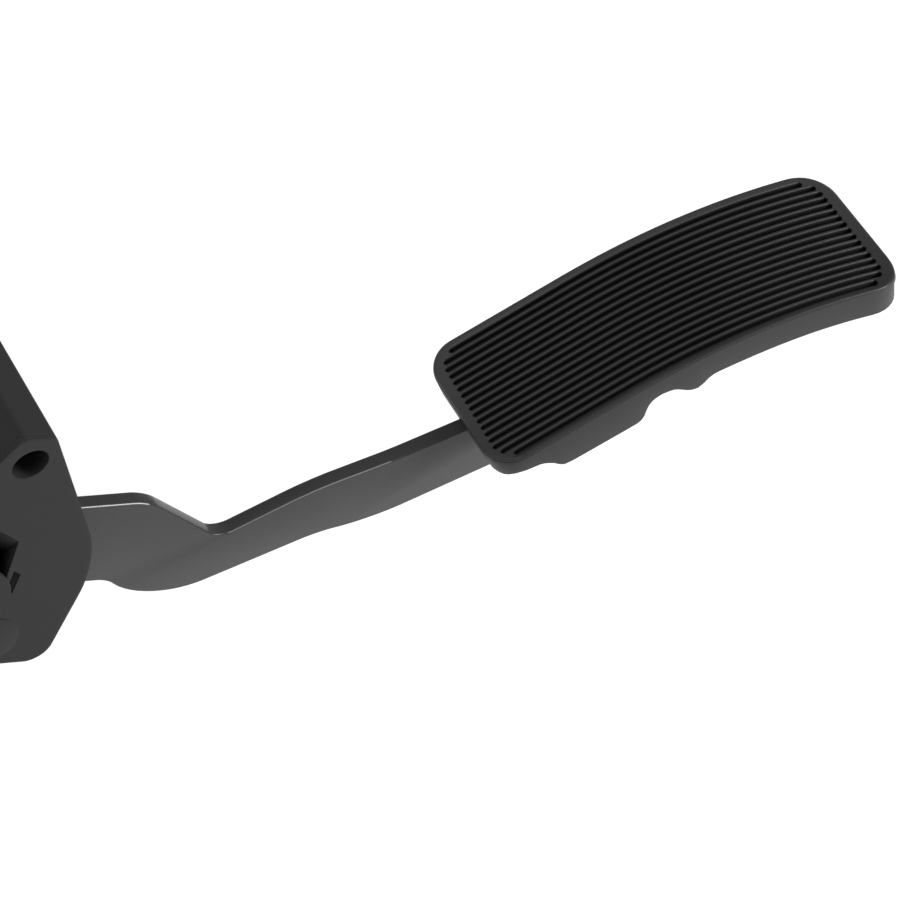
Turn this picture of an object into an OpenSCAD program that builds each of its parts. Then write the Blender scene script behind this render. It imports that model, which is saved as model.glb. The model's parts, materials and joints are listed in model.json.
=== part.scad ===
// Accelerator pedal module for a car: a bent steel pedal arm with a ribbed rubber pad, carried by
// a plastic housing that holds the return springs, the friction lever and the position sensor.
// +X runs from the housing towards the pad, +Y away from the cover side, +Z out of the mounting
// face. The origin lies on the mounting face, straight below the pedal's pivot.

/* [Housing] */
// Width of the housing over both side walls
case_w = 48; // [44:1:60]
// Height of the housing's top above the mounting face
case_h = 111; // [108:1:120]
// Distance from the pivot to the housing's front edge
case_front = 40; // [38:0.5:44]
// Distance from the pivot to the housing's back wall
case_back = 60; // [56:1:70]
// Wall thickness of the housing
wall = 3; // [2.5:0.1:4]
// Thickness of the side cover
cover_t = 2.5; // [2:0.1:3.5]
// Corner radius at the lower front of the housing
toe_r = 8; // [4:0.5:12]
// Radius of the bend between the front edge and the slope above the arm
brow_r = 52; // [20:1:60]

/* [Mounting] */
// Radius of the cross bore in the upper lug
lug_bore_r = 6.7; // [5:0.1:7.2]
// Distance of the cross bore below the housing's top
lug_drop = 12; // [11:0.5:14]
// Wall of the tube round the cross bore
lug_wall = 3; // [2.4:0.1:3.2]
// Length of the bolt flange behind the housing
flange_len = 18; // [16:1:24]
// Thickness of the bolt flange
flange_t = 8; // [6:0.5:10]
// Distance between the two flange bolts
bolt_pitch = 34; // [28:1:36]
// Radius of the bolt hole in each sleeve
bolt_r = 3.3; // [2.6:0.1:3.6]
// Outer radius of the steel sleeves
sleeve_r = 5.5; // [4.6:0.1:6]

/* [Pivot] */
// Height of the pivot above the mounting face
pivot_z = 32; // [31:0.5:34]
// Radius of the pivot shaft
shaft_r = 5; // [4:0.1:6]
// Running clearance between the shaft and its bushes
run_gap = 0.06; // [0.02:0.01:0.1]
// Wall of the two bearing bushes
bush_wall = 2.5; // [1.5:0.1:3]
// Length of each bush
bush_len = 7; // [5:0.5:7.5]
// Radius of the cap that closes the pivot on the cover
cap_r = 15.4; // [14.5:0.1:16]
// Height of the cap above the cover
cap_rise = 0.9; // [0.4:0.1:1.5]
// Radius of the hub's drum
drum_r = 17; // [16:0.5:18]
// Side play of the hub between its two bearings
hub_play = 2.6; // [1.5:0.1:3]
// Largest pedal travel in degrees
travel = 16; // [12:1:16]

/* [Arm] */
// Thickness of the steel arm
arm_t = 5.6; // [4:0.1:6.4]
// Height of the arm where it enters the hub
root_h = 37.7; // [34:0.1:37.7]
// Distance the arm reaches behind the pivot
root_back = 13; // [12:0.5:14]
// Width of the gap for the arm in the housing's mouth
mouth_w = 9; // [8:0.5:12]

/* [Springs] */
// Distance from the pivot back to the springs' axis
spring_x = 34; // [33:0.5:35]
// Radius to the middle of the outer spring's wire
outer_coil_r = 7.6; // [7:0.1:8]
// Wire radius of the outer spring
outer_wire_r = 1; // [0.7:0.05:1.1]
// Number of turns of the outer spring
outer_turns = 6; // [4:1:7]
// Radius to the middle of the inner spring's wire
inner_coil_r = 4.4; // [4:0.1:4.8]
// Wire radius of the inner spring
inner_wire_r = 0.7; // [0.5:0.05:0.8]
// Number of turns of the inner spring
inner_turns = 8; // [6:1:9]
// Height of the spring seat on the tail above the pivot
tail_top = 4; // [2:0.5:5]
// Height of the upper spring seat above the mounting face
seat_z = 64; // [62:0.5:66]

/* [Pad] */
// Width of the pad
pad_w = 56; // [50:0.2:60]
// Slope of the pad's straight lower stretch in degrees
pad_slope = 42; // [38:0.5:44]
// Length of the straight lower stretch
pad_flat = 54.4; // [48:0.2:60]
// Radius of the pad's curved upper stretch
pad_arc_r = 196; // [180:1:220]
// Angle that the curved stretch turns through
pad_arc_deg = 30; // [28:0.5:32]
// Thickness of the rubber tread
tread_t = 2.5; // [2.2:0.1:4]
// Width of the carrier's edge that shows round the tread
ledge = 0.3; // [0.2:0.1:0.8]
// Number of grooves in the tread
groove_n = 17; // [9:1:17]
// Distance from groove to groove
groove_pitch = 3; // [2.4:0.1:3.1]
// Width of one groove
groove_w = 1.7; // [0.8:0.1:1.9]
// Depth of one groove
groove_d = 1.3; // [0.6:0.1:1.6]
// Width of the plain rim at the ends of the tread
rim_w = 4; // [3:0.5:7]
// Wall of the pad carrier
skirt_wall = 2.4; // [1.8:0.1:3]
// Corner radius of the pad at its lower end
low_corner_r = 11.5; // [6:0.5:14]
// Corner radius of the pad at its upper end
high_corner_r = 12.5; // [8:0.5:16]

/* [Sensor] */
// Radius of the sensor's round body
sensor_r = 22; // [20:0.5:24]
// Depth of the sensor body behind the housing
sensor_d = 16; // [15:0.5:20]
// Wall of the sensor body
sensor_wall = 2; // [1.6:0.1:2.6]
// Length of the connector socket behind the sensor's axis
socket_len = 52; // [44:1:56]
// Height of the connector socket
socket_h = 20; // [16:1:24]
// Number of connector pins in a row
pin_n = 3; // [2:1:4]

/* [Hidden] */
$fn = 64;

// Small overlap that makes cuts run past a face
eps = 0.1;
// Free space between parts that don't touch
gap = 0.3;
// Assembly clearance of parts that are pressed or screwed together
fit = 0.05;

near_y = -case_w / 2;
far_y = case_w / 2;
seam_y = near_y + cover_t;
inner_far_y = far_y - wall;
lug_x = -9.5;
lug_z = case_h - lug_drop;
cap_seat = 1.4;
hub_w = case_w - 2 * (cap_seat + bush_len + hub_play);
shoulder_z = seat_z + 14;
// Height at which the front edge bends back to the slope
brow_z = pivot_z + 17.6;

// Corner points of the housing's side outline as [x, z, corner radius]
case_outline = [
    [case_front, 0, toe_r], [case_front, brow_z, brow_r], [-4.3, case_h, 2],
    [-17.4, case_h, 3.5], [-28, shoulder_z + 10, 6], [-case_back, shoulder_z, 8], [-case_back, 0, 2]];

// Arc of a rounded corner at B between A and C, with n steps
function corner(A, B, C, r, n) =
    let (u = (A - B) / norm(A - B), v = (C - B) / norm(C - B),
        half = acos(max(-1, min(1, u * v))) / 2,
        back = r / tan(half), mid = (u + v) / norm(u + v), centre = B + mid * r / sin(half),
        first = B + u * back - centre, last = B + v * back - centre,
        a0 = atan2(first[1], first[0]), a1 = atan2(last[1], last[0]),
        turn = a1 - a0 > 180 ? a1 - a0 - 360 : (a1 - a0 < -180 ? a1 - a0 + 360 : a1 - a0))
    r < 0.01 ? [B] : [for (i = [0:n]) centre + r * [cos(a0 + turn * i / n), sin(a0 + turn * i / n)]];

// Outline through the corners P, each rounded by its own radius
function rounded(P, n = 8) =
    [for (i = [0:len(P) - 1])
        let (A = P[(i + len(P) - 1) % len(P)], B = P[i], C = P[(i + 1) % len(P)])
        each corner([A[0], A[1]], [B[0], B[1]], [C[0], C[1]], B[2], n)];

// Where the line through P along u meets the line through Q along v
function crossing(P, u, Q, v) =
    P + u * ((Q - P)[0] * v[1] - (Q - P)[1] * v[0]) / (u[0] * v[1] - u[1] * v[0]);

// The corners P, which run anticlockwise, moved inwards by d
function inset(P, d) =
    [for (i = [0:len(P) - 1])
        let (A = [P[(i + len(P) - 1) % len(P)][0], P[(i + len(P) - 1) % len(P)][1]],
            B = [P[i][0], P[i][1]],
            C = [P[(i + 1) % len(P)][0], P[(i + 1) % len(P)][1]],
            u = (B - A) / norm(B - A), v = (C - B) / norm(C - B),
            M = crossing(B + d * [-u[1], u[0]], u, B + d * [-v[1], v[0]], v))
        [M[0], M[1], max(0.5, P[i][2] - d)]];

// Extrudes a side outline, drawn in X and Z, from y0 to y1
module side_plate(y0, y1) {
    translate([0, y1, 0]) rotate([90, 0, 0]) linear_extrude(y1 - y0) children();
}

// Round bar along Y at side position p
module cross_bar(p, r, y0, y1) {
    translate([p[0], y1, p[1]]) rotate([90, 0, 0]) cylinder(r = r, h = y1 - y0);
}

// Block given by its low and high corners
module block(lo, hi) {
    translate(lo) cube(hi - lo);
}

pivot = [0, pivot_z];
lug = [lug_x, lug_z];

// Screws that hold the cover, at side positions
lever_at = [-case_back + 11, seat_z + 3];
cover_screw_at = [[-case_back + 8, 8], lever_at, [-14, 8]];
cover_screw_r = 1.9;
cover_screw_head_r = 3.6;
cover_boss_r = 4;

// Pivot bearings
bush_r = shaft_r + run_gap + bush_wall;
bearing_boss_r = bush_r + 3;
bush_far_y0 = far_y - cap_seat - bush_len;

// Window recess beside the pivot cap on the cover
recess = [[2.9, 61.4, 0.4], [-14, 71.2, 3], [-14, 42, 2], [6.3, 42, 0.4]];
recess_box = [[5, 63.5, 1], [-16, 73.2, 4], [-16, 40, 2], [8.4, 40, 1]];
recess_floor = 7;
ramp_z = 68;
ramp_deg = 58;

// Pocket between the window's rib and the cap, its floor rising to the front
pocket = [[7.6, 46.7, 0.3], [11.1, 44.6, 0.3], [11.8, 35.2, 0.3], [9, 38, 0.3], [8.2, 41.2, 0.3]];
pocket_floor = 1.6;
pocket_x = 12;
pocket_deg = 29;

// The cap's middle lies behind the pivot, so that one cap also closes the cover's core hole
cap_at = [-4.3, pivot_z];

// Round foot pad at the lower edge of the cover
foot_at = [11.5, 9.5];
foot_r = 13.3;
foot_rise = 0.5;

module case_profile(d = 0) {
    polygon(rounded(inset(case_outline, d), 10));
}

// Slot in the front of the housing through which the arm swings
module mouth() {
    block([case_front - 15, -mouth_w / 2, -eps], [case_front + eps, mouth_w / 2, pivot_z + root_h / 2 + 4]);
}

module housing() {
    color([0.17, 0.17, 0.17]) difference() {
        union() {
            difference() {
                side_plate(seam_y, far_y) case_profile();
                side_plate(seam_y - eps, inner_far_y) case_profile(wall);
                mouth();
            }
            cross_bar(lug, lug_bore_r + lug_wall, seam_y, inner_far_y + eps);
            cross_bar(pivot, bearing_boss_r, bush_far_y0, inner_far_y + eps);
            for (p = cover_screw_at) cross_bar(p, cover_boss_r, seam_y, inner_far_y + eps);
            flange();
            stop_posts();
        }
        cross_bar(lug, lug_bore_r, seam_y - eps, far_y + eps);
        cross_bar(pivot, bush_r + fit, bush_far_y0 - eps, far_y + eps);
        for (p = cover_screw_at) cross_bar(p, cover_screw_r, seam_y - eps, seam_y + 14);
        for (s = [-1, 1]) translate([flange_x, s * bolt_pitch / 2, -eps])
            cylinder(r = sleeve_r, h = flange_t + 2 * eps);
    }
}

flange_x = -case_back - flange_len / 2;

// Bolt flange with stiffening webs up the back wall
module flange() {
    translate([-case_back - flange_len, 0, 0]) difference() {
        block([0, near_y + cover_t, 0], [flange_len + 1, far_y, flange_t]);
        for (s = [-1, 1]) translate([0, s > 0 ? far_y : near_y + cover_t, flange_t / 2])
            rotate([0, 0, 45]) cube([4, 4, flange_t + 1], center = true);
    }
    for (y = [near_y + cover_t, -wall / 2, far_y - wall])
        side_plate(y, y + wall)
            polygon([[-case_back + 1, flange_t - 1], [-case_back - flange_len + 2, flange_t - 1],
                [-case_back - flange_len + 2, flange_t], [-case_back - 2, flange_t + 26],
                [-case_back + 1, flange_t + 26]]);
}

// Seats of the two rubber stops on the floor of the housing
idle_x = -spring_x - 2;
full_x = 14;
stop_r = 5;
post_r = 3;
tail_h = 12;
idle_top = pivot_z - tail_h + tail_top;
full_top = pivot_z - root_h / 2 / cos(travel) - (full_x + stop_r) * tan(travel) - gap;
post_base_h = 8;
post_bare = 3;

module stop_posts() {
    translate([idle_x, 0, wall - 1]) cylinder(r = stop_r + 2, h = post_base_h);
    translate([idle_x, 0, wall]) cylinder(r = post_r, h = idle_top - gap - wall - post_bare);
}

module side_cover() {
    color([0.2, 0.2, 0.2]) difference() {
        union() {
            side_plate(near_y, seam_y) case_profile();
            // Locating lip inside the housing's walls
            difference() {
                side_plate(seam_y - eps, seam_y + 2.5) case_profile(wall + gap);
                side_plate(seam_y - 2 * eps, seam_y + 2.5 + eps) case_profile(wall + gap + 1.6);
                mouth();
                cross_bar(lug, lug_bore_r + lug_wall + gap, seam_y, seam_y + 3);
                for (p = cover_screw_at) cross_bar(p, cover_boss_r + gap, seam_y, seam_y + 3);
            }
            cross_bar(pivot, bearing_boss_r, seam_y - eps, near_y + cap_seat + bush_len);
            cross_bar(foot_at, foot_r, near_y - foot_rise, near_y + eps);
            // Box behind the recess
            side_plate(near_y + eps, near_y + recess_floor + 1.6)
                polygon(rounded(recess_box));
        }
        cross_bar(lug, lug_bore_r, near_y - 1, seam_y + eps);
        cross_bar(pivot, bush_r + fit, near_y + cap_seat, near_y + 30);
        cross_bar(cap_at, cap_r + fit, near_y - cap_rise - eps, near_y + cap_seat);
        for (p = cover_screw_at) cross_bar(p, cover_screw_r + 0.2, near_y - eps, seam_y + eps);
        difference() {
            side_plate(near_y - eps, near_y + recess_floor) polygon(rounded(recess, 4));
            // Sloping top of the recess
            translate([-20, near_y, ramp_z]) rotate([-ramp_deg, 0, 0]) cube([40, 12, 12]);
        }
        difference() {
            side_plate(near_y - eps, near_y + pocket_floor) polygon(rounded(pocket, 2));
            translate([pocket_x, near_y, 30]) rotate([0, 0, -pocket_deg])
                translate([-10, 0, 0]) cube([12, 10, 20]);
        }
        translate([0, 0, -foot_r]) block([-20, near_y - 2, -1], [30, near_y + 1, foot_r]);
    }
}

module cover_screws() {
    color([0.55, 0.55, 0.55]) for (p = cover_screw_at) difference() {
        union() {
            cross_bar(p, cover_screw_head_r, near_y - 1.8, near_y - fit);
            cross_bar(p, cover_screw_r - fit, near_y - 1, seam_y + 12);
        }
        cross_bar(p, 1.3, near_y - 2, near_y - 0.6, $fn = 6);
    }
}

module pivot_cap() {
    color([0.24, 0.24, 0.24]) difference() {
        cross_bar(cap_at, cap_r, near_y - cap_rise, near_y + cap_seat - fit);
        cross_bar(cap_at, cap_r - 2.5, near_y + 0.2, near_y + cap_seat);
    }
}

module bush(y0) {
    color([0.62, 0.5, 0.3]) difference() {
        cross_bar(pivot, bush_r, y0, y0 + bush_len);
        cross_bar(pivot, shaft_r + run_gap, y0 - eps, y0 + bush_len + eps);
    }
}

module bush_near() {
    bush(near_y + cap_seat + fit);
}

module bush_far() {
    bush(bush_far_y0);
}

shaft_y0 = near_y + cap_seat + 1;
shaft_y1 = far_y + 7.5;

module pivot_shaft() {
    color([0.7, 0.7, 0.72]) difference() {
        cross_bar(pivot, shaft_r, shaft_y0, shaft_y1);
        // Flat that turns the sensor rotor
        block([shaft_r - 1.2, far_y + 2, pivot_z - shaft_r], [shaft_r + 1, shaft_y1 + 1, pivot_z + shaft_r]);
    }
}

tail_len = spring_x + 12;
rivet_r = 2.4;
rivet_at = [[10, pivot_z + 9], [10, pivot_z - 9]];
rivet_head_r = 3.8;
rivet_head_h = 1.2;

module hub() {
    color([0.13, 0.13, 0.14]) difference() {
        union() {
            cross_bar(pivot, drum_r, -hub_w / 2, hub_w / 2);
            block([-tail_len, -hub_w / 2 + 2, pivot_z + tail_top - tail_h],
                [-6, hub_w / 2 - 2, pivot_z + tail_top]);
        }
        cross_bar(pivot, shaft_r + fit, -hub_w, hub_w);
        block([-root_back - fit, -arm_t / 2 - fit, pivot_z - 2 * drum_r],
            [drum_r + 1, arm_t / 2 + fit, pivot_z + 2 * drum_r]);
        for (p = rivet_at) cross_bar(p, rivet_r + fit, -hub_w, hub_w);
        // Round seat for the spring cup
        translate([-spring_x, 0, pivot_z + tail_top - 1]) cylinder(r = cup_r + fit, h = 2);
    }
}

// Corner points of the arm's side outline as [x, z, corner radius]
arm_low = pivot_z - root_h / 2;
arm_high = pivot_z + root_h / 2;
arm_outline = [
    [-root_back, arm_low, 6], [70.7, arm_low, 12.7], [93.5, -0.8, 37], [150.5, 29.7, 50], [169.5, 34.2, 80],
    [221, 65, 20], [262, 118, 6], [258, 128.5, 5], [231.2, 112.6, 30], [201.3, 83, 60], [166.4, 63.9, 119],
    [138.2, 50.9, 98], [108.6, 30.4, 9.3], [70.9, arm_high + 0.5, 22.5], [-root_back, arm_high, 6]];

module arm() {
    color([0.21, 0.21, 0.21]) difference() {
        side_plate(-arm_t / 2, arm_t / 2) polygon(rounded(arm_outline, 10));
        cross_bar(pivot, shaft_r + fit, -arm_t, arm_t);
        for (p = rivet_at) cross_bar(p, rivet_r + fit, -arm_t, arm_t);
        for (p = pad_screw_at) cross_bar(p, pad_screw_r + fit, -arm_t, arm_t);
    }
}

module hub_rivets() {
    color([0.6, 0.6, 0.62]) for (p = rivet_at) {
        cross_bar(p, rivet_r, -hub_w / 2 - fit, hub_w / 2 + fit);
        for (s = [-1, 1]) translate([0, s > 0 ? hub_w / 2 + fit : -hub_w / 2 - fit - rivet_head_h, 0])
            cross_bar(p, rivet_head_r, 0, rivet_head_h);
    }
}

// Friction lever above the springs: it hangs on a screw boss and bears on the drum
lever_y0 = arm_t / 2 + 1.7;
lever_y1 = hub_w / 2 - 0.5;
lever_eye_r = cover_boss_r + 2.4;
lever_inner_x = -spring_x + outer_coil_r + outer_wire_r + 1;
lining_in = drum_r + gap;
lining_out = lining_in + 3;
lining_from = 92;
lining_to = 138;

// Ring sector about the pivot, from angle a0 to a1
module sector(r0, r1, a0, a1) {
    translate([pivot[0], pivot[1]]) difference() {
        intersection() {
            circle(r = r1);
            polygon([[0, 0], 2 * r1 * [cos(a0), sin(a0)],
                2 * r1 * [cos((a0 + a1) / 2), sin((a0 + a1) / 2)], 2 * r1 * [cos(a1), sin(a1)]]);
        }
        circle(r = r0);
    }
}

module friction_lever() {
    seat_r = outer_coil_r + outer_wire_r + 1.4;
    color([0.3, 0.3, 0.32]) difference() {
        union() {
            side_plate(lever_y0, lever_y1)
                sector(lining_out + fit, lining_out + 4.5, lining_from, lining_to);
            side_plate(lever_y0, lever_y1)
                polygon([[-10, pivot_z + lining_out + 1], [-18, pivot_z + lining_out - 3],
                    [lever_inner_x, pivot_z + 27], [lever_inner_x, seat_z - 1], [-spring_x, seat_z],
                    [-spring_x, seat_z + 6], [lever_inner_x, seat_z + 6]]);
            cross_bar(lever_at, lever_eye_r, lever_y0, lever_y1);
            side_plate(lever_y0, lever_y1)
                polygon(rounded([[lever_at[0], seat_z - 1, 0], [-spring_x + 8, seat_z, 1],
                    [-spring_x + 8, seat_z + 6, 3], [lever_at[0], seat_z + 7, 0]]));
            translate([-spring_x, 0, seat_z]) cylinder(r = seat_r, h = 3);
            translate([-spring_x, 0, seat_z - 3])
                cylinder(r = inner_coil_r - inner_wire_r - gap, h = 3 + eps);
        }
        cross_bar(lever_at, cover_boss_r + fit, lever_y0 - 1, lever_y1 + 1);
    }
}

module brake_pad() {
    color([0.35, 0.27, 0.2]) side_plate(lever_y0 + 0.5, lever_y1 - 0.5)
        sector(lining_in, lining_out, lining_from + 2, lining_to - 2);
}

cup_r = outer_coil_r + outer_wire_r + 1.2;
cup_floor = 1.5;
spring_z0 = pivot_z + tail_top - 1 + cup_floor;

module spring_cup() {
    color([0.75, 0.73, 0.68]) translate([-spring_x, 0, pivot_z + tail_top - 1]) {
        difference() {
            cylinder(r = cup_r, h = cup_floor + 2);
            translate([0, 0, cup_floor]) cylinder(r = outer_coil_r + outer_wire_r + gap, h = 3);
        }
        cylinder(r = inner_coil_r - inner_wire_r - gap, h = cup_floor + 2.5);
    }
}

// Round wire swept along a helix from z0 to z1, with flat-ground end turns
wire_sides = 8;
steps = 18;

function helix_point(r, z0, z1, w, turns, t) =
    let (dead = 1, a = 360 * t, rise = (z1 - z0 - 2 * w - 2 * (2 * w + 0.05) * dead) / (turns - 2 * dead),
        low = z0 + w, z = t < dead ? low + (2 * w + 0.05) * t
            : (t < turns - dead ? low + (2 * w + 0.05) * dead + rise * (t - dead)
                : z1 - w - (2 * w + 0.05) * (turns - t)))
    [r * cos(a), r * sin(a), z];

module coil(r, w, turns, z0, z1) {
    n = turns * steps;
    rings = [for (i = [0:n], j = [0:wire_sides - 1])
        let (c = helix_point(r, z0, z1, w, turns, i / steps), a = 360 * i / steps,
            b = 360 * (j + 0.5) / wire_sides)
        c + w * [cos(a) * cos(b), sin(a) * cos(b), sin(b)]];
    last = n * wire_sides;
    polyhedron(points = rings, faces = concat(
        [for (i = [0:n - 1], j = [0:wire_sides - 1])
            let (k = (j + 1) % wire_sides)
            [i * wire_sides + j, i * wire_sides + k, (i + 1) * wire_sides + k, (i + 1) * wire_sides + j]],
        [[for (j = [wire_sides - 1:-1:0]) j], [for (j = [0:wire_sides - 1]) last + j]]));
}

module outer_spring() {
    color([0.5, 0.5, 0.5]) translate([-spring_x, 0, 0])
        coil(outer_coil_r, outer_wire_r, outer_turns, spring_z0 + fit, seat_z - fit);
}

module inner_spring() {
    color([0.5, 0.5, 0.5]) translate([-spring_x, 0, 0])
        coil(inner_coil_r, inner_wire_r, inner_turns, spring_z0 + fit, seat_z - fit);
}

module idle_stop() {
    color([0.08, 0.08, 0.08]) difference() {
        translate([idle_x, 0, wall + post_base_h - 1])
            cylinder(r = stop_r, h = idle_top - gap - wall - post_base_h + 1);
        translate([idle_x, 0, wall])
            cylinder(r = post_r + fit, h = idle_top - gap - wall - post_bare + fit);
    }
}

module full_stop() {
    color([0.08, 0.08, 0.08]) translate([full_x, 0, wall])
        cylinder(r1 = stop_r + 1, r2 = stop_r, h = full_top - wall);
}

// Sensor on the far side of the housing
sensor_y1 = far_y + sensor_d;
sensor_in_r = sensor_r - sensor_wall;
socket_w = 13;
socket_y0 = far_y + 1.5;
socket_wall = 1.8;
ear_r = 5;
ear_t = 6;
ear_out = sensor_r + 4.2;
sensor_ear_at = [[0, pivot_z + ear_out], [0, pivot_z - ear_out]];
sensor_floor = 4;
sensor_screw_r = 2;
sensor_head_r = 3.6;
sensor_head_h = 2.4;
board_y0 = sensor_y1 - 4.6;
board_t = 1.6;
pin_rows_y = [socket_y0 + 4.4, socket_y0 + 8.6];

module sensor_ears(y0, y1) {
    for (p = sensor_ear_at) {
        cross_bar(p, ear_r, y0, y1);
        block([-ear_r, y0, min(p[1], pivot_z + sign(p[1] - pivot_z) * (sensor_r - 3))],
            [ear_r, y1, max(p[1], pivot_z + sign(p[1] - pivot_z) * (sensor_r - 3))]);
    }
}

module sensor_body() {
    color([0.15, 0.15, 0.16]) difference() {
        union() {
            cross_bar(pivot, sensor_r, far_y, sensor_y1);
            sensor_ears(far_y, far_y + ear_t);
            block([-socket_len, socket_y0, pivot_z - socket_h / 2],
                [0, socket_y0 + socket_w, pivot_z + socket_h / 2]);
        }
        cross_bar(pivot, sensor_in_r, far_y + sensor_floor, sensor_y1 + eps);
        cross_bar(pivot, shaft_r + gap, far_y - eps, far_y + sensor_floor + 1);
        cross_bar(pivot, seal_r + fit, far_y - eps, far_y + 1.8);
        for (p = sensor_ear_at) cross_bar(p, sensor_screw_r + 0.2, far_y - eps, far_y + ear_t + 1);
        // Mouth of the connector socket
        block([-socket_len - eps, socket_y0 + socket_wall, pivot_z - socket_h / 2 + socket_wall],
            [-sensor_r - 3, socket_y0 + socket_w - socket_wall, pivot_z + socket_h / 2 - socket_wall]);
        for (y = pin_rows_y, i = [0:pin_n - 1]) pin_bar(y, i, 0.02);
    }
}

seal_r = sensor_r - 6;

module sensor_seal() {
    color([0.45, 0.2, 0.12]) difference() {
        cross_bar(pivot, seal_r, far_y + fit, far_y + 1.8 - fit);
        cross_bar(pivot, seal_r - 2, far_y - eps, far_y + 3);
    }
}

// Square pin i of a row at y, made larger by c
pin_t = 1;
pin_pitch = 4.5;
function pin_z(i) = pivot_z + (i - (pin_n - 1) / 2) * pin_pitch;

// Where the legs of the pin row at y stand, the row nearer the board standing closer to the mouth
function leg_x(y) = -sensor_in_r + 4 + (pin_rows_y[1] - y) / 2;

module pin_bar(y, i, c = 0) {
    block([-sensor_r - 15, y - pin_t / 2 - c, pin_z(i) - pin_t / 2 - c],
        [leg_x(y) + c, y + pin_t / 2 + c, pin_z(i) + pin_t / 2 + c]);
}

module connector_pins() {
    color([0.8, 0.68, 0.35]) for (y = pin_rows_y, i = [0:pin_n - 1]) {
        pin_bar(y, i);
        block([leg_x(y) - pin_t, y, pin_z(i) - pin_t / 2],
            [leg_x(y), board_y0 + board_t + 0.8, pin_z(i) + pin_t / 2]);
    }
}

module sensor_board() {
    color([0.1, 0.35, 0.16]) difference() {
        cross_bar(pivot, sensor_in_r - fit, board_y0, board_y0 + board_t);
        for (y = pin_rows_y, i = [0:pin_n - 1])
            block([leg_x(y) - pin_t - fit, board_y0 - 1, pin_z(i) - pin_t / 2 - fit],
                [leg_x(y) + fit, board_y0 + 3, pin_z(i) + pin_t / 2 + fit]);
    }
}

rotor_r = 12;
rotor_neck_r = 8;
magnet_y0 = far_y + 7;
magnet_t = 2.4;

module sensor_rotor() {
    color([0.85, 0.84, 0.8]) difference() {
        union() {
            cross_bar(pivot, rotor_r, far_y + sensor_floor + gap, magnet_y0);
            cross_bar(pivot, rotor_neck_r, magnet_y0 - 1, magnet_y0 + magnet_t - 0.8);
        }
        difference() {
            cross_bar(pivot, shaft_r + fit, far_y, shaft_y1 + fit);
            block([shaft_r - 1.2 + fit, far_y, pivot_z - 9], [shaft_r + 2, far_y + 12, pivot_z + 9]);
        }
    }
}

module rotor_magnet() {
    color([0.3, 0.3, 0.33]) difference() {
        cross_bar(pivot, rotor_r - 0.5, magnet_y0, magnet_y0 + magnet_t);
        cross_bar(pivot, rotor_neck_r + fit, magnet_y0 - 1, magnet_y0 + magnet_t + 1);
    }
}

module sensor_cover() {
    color([0.19, 0.19, 0.2]) {
        cross_bar(pivot, sensor_r, sensor_y1, sensor_y1 + 2);
        difference() {
            cross_bar(pivot, sensor_in_r - fit, board_y0 + board_t + 1, sensor_y1 + eps);
            cross_bar(pivot, sensor_in_r - 1.4, board_y0, sensor_y1);
        }
    }
}

module sensor_screws() {
    color([0.6, 0.6, 0.6]) for (p = sensor_ear_at) difference() {
        union() {
            cross_bar(p, sensor_head_r, far_y + ear_t + fit, far_y + ear_t + sensor_head_h);
            cross_bar(p, sensor_screw_r, far_y + fit, far_y + ear_t + 1);
        }
        cross_bar(p, 1.4, far_y + ear_t + 1, far_y + ear_t + 3, $fn = 6);
    }
}

module mount_sleeves() {
    color([0.68, 0.68, 0.66]) for (s = [-1, 1]) translate([flange_x, s * bolt_pitch / 2, 0]) difference() {
        cylinder(r = sleeve_r, h = flange_t);
        translate([0, 0, -eps]) cylinder(r = bolt_r, h = flange_t + 2 * eps);
    }
}

// The pad's crest line starts at pad_start and runs up the slope, then round the arc
pad_start = [185.35, 81.48];
// How far each end runs out on the cover side and back on the other, against a square end
low_lean = -0.9;
high_lean = 3.2;
pad_bend = pad_start + pad_flat * [cos(pad_slope), sin(pad_slope)];
pad_centre = pad_bend + pad_arc_r * [sin(pad_slope), -cos(pad_slope)];
pad_end_deg = pad_slope - pad_arc_deg;
pad_end = pad_centre + pad_arc_r * [-sin(pad_end_deg), cos(pad_end_deg)];
pad_len = pad_flat + pad_arc_r * pad_arc_deg * PI / 180;

// Side area between two depths below the crest line, longer than the pad by run at each end
module pad_band(top, low, run = 0) {
    translate(pad_start) rotate(pad_slope) translate([-run, -low]) square([pad_flat + run + 0.01, low - top]);
    translate(pad_centre) difference() {
        intersection() {
            circle(r = pad_arc_r - top, $fn = 256);
            polygon([[0, 0], 2 * pad_arc_r * [-sin(pad_slope), cos(pad_slope)],
                2 * pad_arc_r * [-sin(pad_end_deg - run / 3), cos(pad_end_deg - run / 3)]]);
        }
        circle(r = pad_arc_r - low, $fn = 256);
    }
}

// Place on the crest line at distance u from the pad's lower end, moved down by depth
function on_pad(u, depth) =
    let (deg = pad_slope - max(0, u - pad_flat) / pad_arc_r * 180 / PI)
    pad_start + min(u, pad_flat) * [cos(pad_slope), sin(pad_slope)]
        + pad_arc_r * [sin(pad_slope) - sin(deg), cos(deg) - cos(pad_slope)]
        + depth * [sin(deg), -cos(deg)];

// Tall prism over an outline whose X runs along the slope deg from the side position at
module slope_prism(at, deg) {
    tall = 220;
    translate([at[0], 0, at[1]]) rotate([0, -deg, 0]) translate([0, 0, -tall / 2])
        linear_extrude(tall) children();
}

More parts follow.
